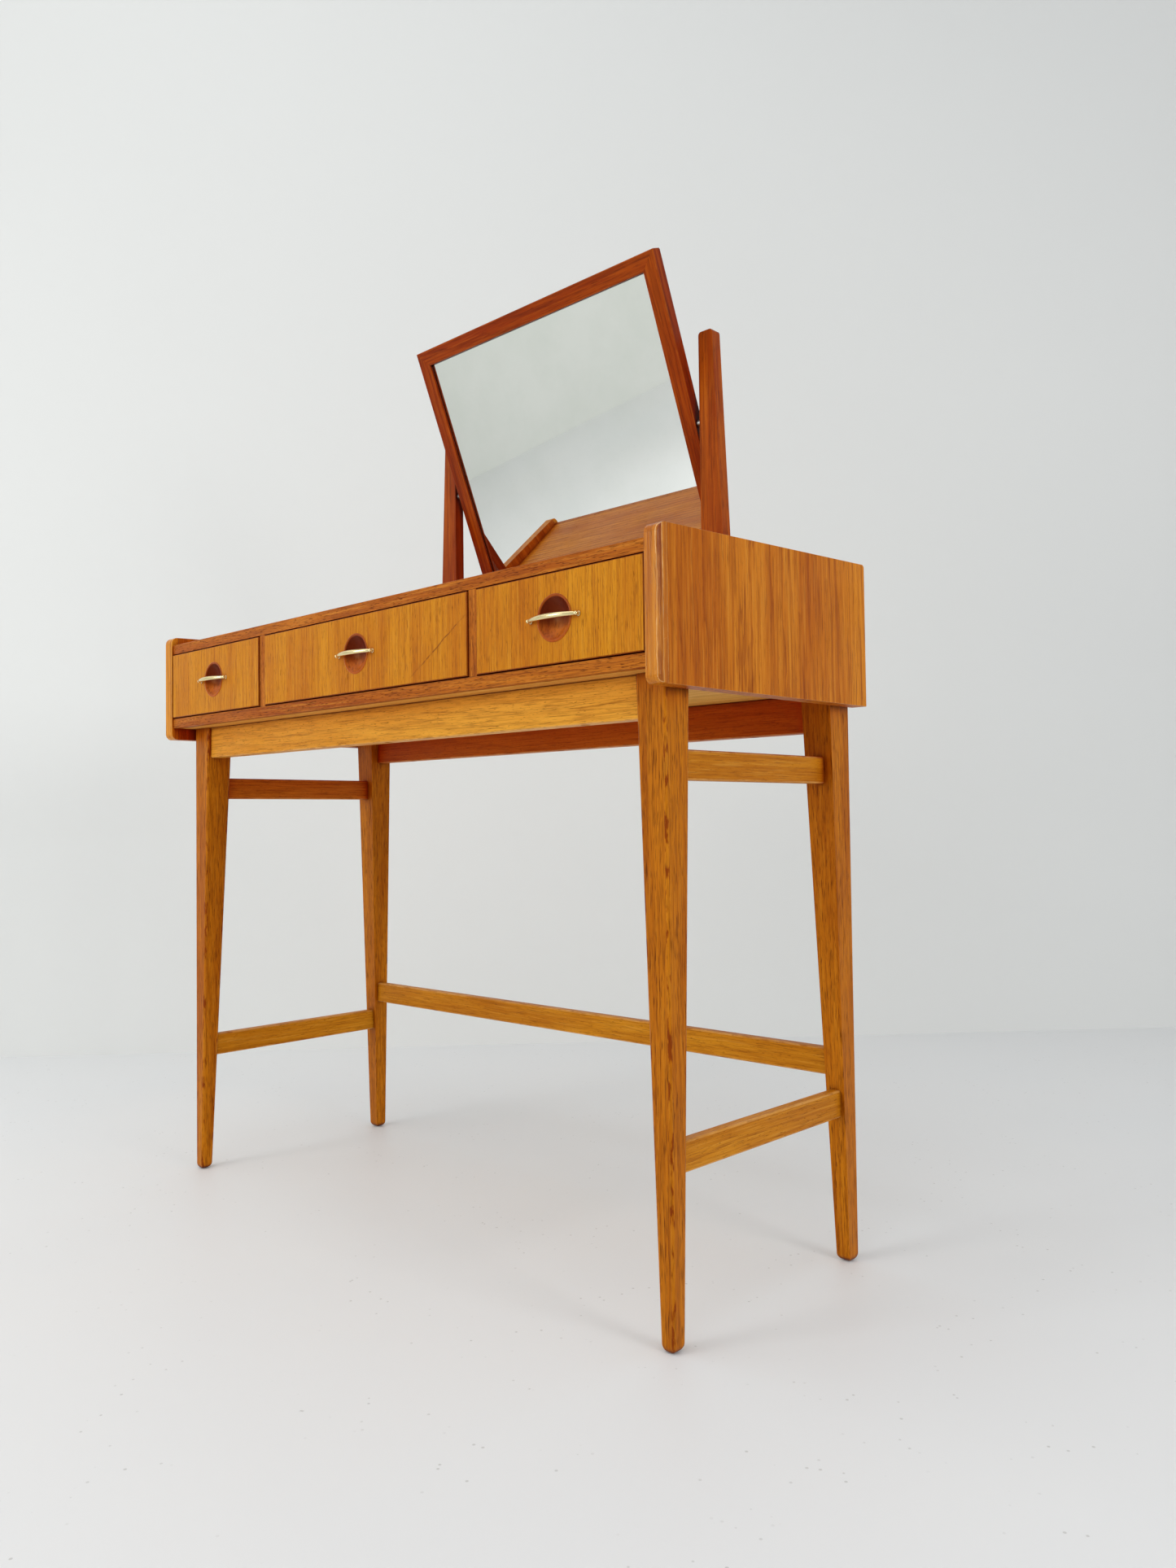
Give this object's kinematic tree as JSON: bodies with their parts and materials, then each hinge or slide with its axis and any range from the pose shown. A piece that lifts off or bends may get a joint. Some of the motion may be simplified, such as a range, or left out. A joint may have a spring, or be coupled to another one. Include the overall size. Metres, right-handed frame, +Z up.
{
  "type": "dressing table with mirror",
  "caption": "Teak dressing table with drawers and round inset pulls, on an open tapered oak leg frame, with a rectangular mirror that tilts between two posts.",
  "frame": {"origin": "the middle of the bounding box footprint, on the floor, with the mirror leaning as at rest", "axes": "+X to the right as seen from the front, +Y to the back, +Z up"},
  "size_m": [0.9, 0.4466, 1.1508],
  "materials": {
    "teak_veneer": "satin oiled teak veneer",
    "teak_lipping": "satin solid teak",
    "front_veneer": "satin golden veneer, upright grain",
    "mirror_teak": "satin red-brown teak",
    "oak": "satin honey oak",
    "birch": "unfinished pale wood and plywood",
    "cup_mahogany": "polished dark red wood",
    "brass": "polished pale brass",
    "steel": "plain steel",
    "mirror_glass": "silvered glass"
  },
  "bodies": {
    "table": {"left_side_panel": "teak_veneer", "right_side_panel": "teak_veneer", "left_panel_lipping": "teak_lipping", "right_panel_lipping": "teak_lipping", "top_board": "teak_veneer", "top_board_lipping": "teak_lipping", "bottom_board": "teak_veneer", "bottom_board_lipping": "teak_lipping", "left_divider": "teak_veneer", "right_divider": "teak_veneer", "back_panel": "birch", "back_panel_nails": "steel", "drawer_stops": "birch", "front_left_leg": "oak", "front_right_leg": "oak", "rear_left_leg": "oak", "rear_right_leg": "oak", "front_apron": "oak", "rear_apron": "oak", "upper_left_rail": "oak", "upper_right_rail": "oak", "lower_left_rail": "oak", "lower_right_rail": "oak", "rear_low_rail": "oak", "apron_screws": "steel", "left_mirror_post": "mirror_teak", "right_mirror_post": "mirror_teak", "post_screws": "steel"},
    "left_drawer": {"left_drawer_front": "front_veneer", "left_drawer_side_l": "birch", "left_drawer_side_r": "birch", "left_drawer_back": "birch", "left_drawer_bottom": "birch", "left_drawer_cup": "cup_mahogany", "left_drawer_pull": "brass", "left_pull_screws": "steel"},
    "middle_drawer": {"middle_drawer_front": "front_veneer", "middle_drawer_side_l": "birch", "middle_drawer_side_r": "birch", "middle_drawer_back": "birch", "middle_drawer_bottom": "birch", "middle_drawer_cup": "cup_mahogany", "middle_drawer_pull": "brass", "middle_pull_screws": "steel"},
    "right_drawer": {"right_drawer_front": "front_veneer", "right_drawer_side_l": "birch", "right_drawer_side_r": "birch", "right_drawer_back": "birch", "right_drawer_bottom": "birch", "right_drawer_cup": "cup_mahogany", "right_drawer_pull": "brass", "right_pull_screws": "steel"},
    "mirror": {"mirror_top_rail": "mirror_teak", "mirror_bottom_rail": "mirror_teak", "mirror_left_stile": "mirror_teak", "mirror_right_stile": "mirror_teak", "mirror_glass": "mirror_glass", "mirror_backing": "birch", "mirror_backing_pins": "steel", "mirror_pivot_pins": "steel"}
  },
  "joints": [
    {"name": "left_drawer_slide", "type": "slide", "parent": "table", "child": "left_drawer", "axis": [0, -1, 0], "range_m": [0, 0.23]},
    {"name": "middle_drawer_slide", "type": "slide", "parent": "table", "child": "middle_drawer", "axis": [0, -1, 0], "range_m": [0, 0.23]},
    {"name": "right_drawer_slide", "type": "slide", "parent": "table", "child": "right_drawer", "axis": [0, -1, 0], "range_m": [0, 0.23]},
    {"name": "mirror_tilt", "type": "hinge", "parent": "table", "child": "mirror", "pos_m": [0, 0.13919, 0.957], "axis": [1, 0, 0], "range_deg": [-95, 55]}
  ]
}
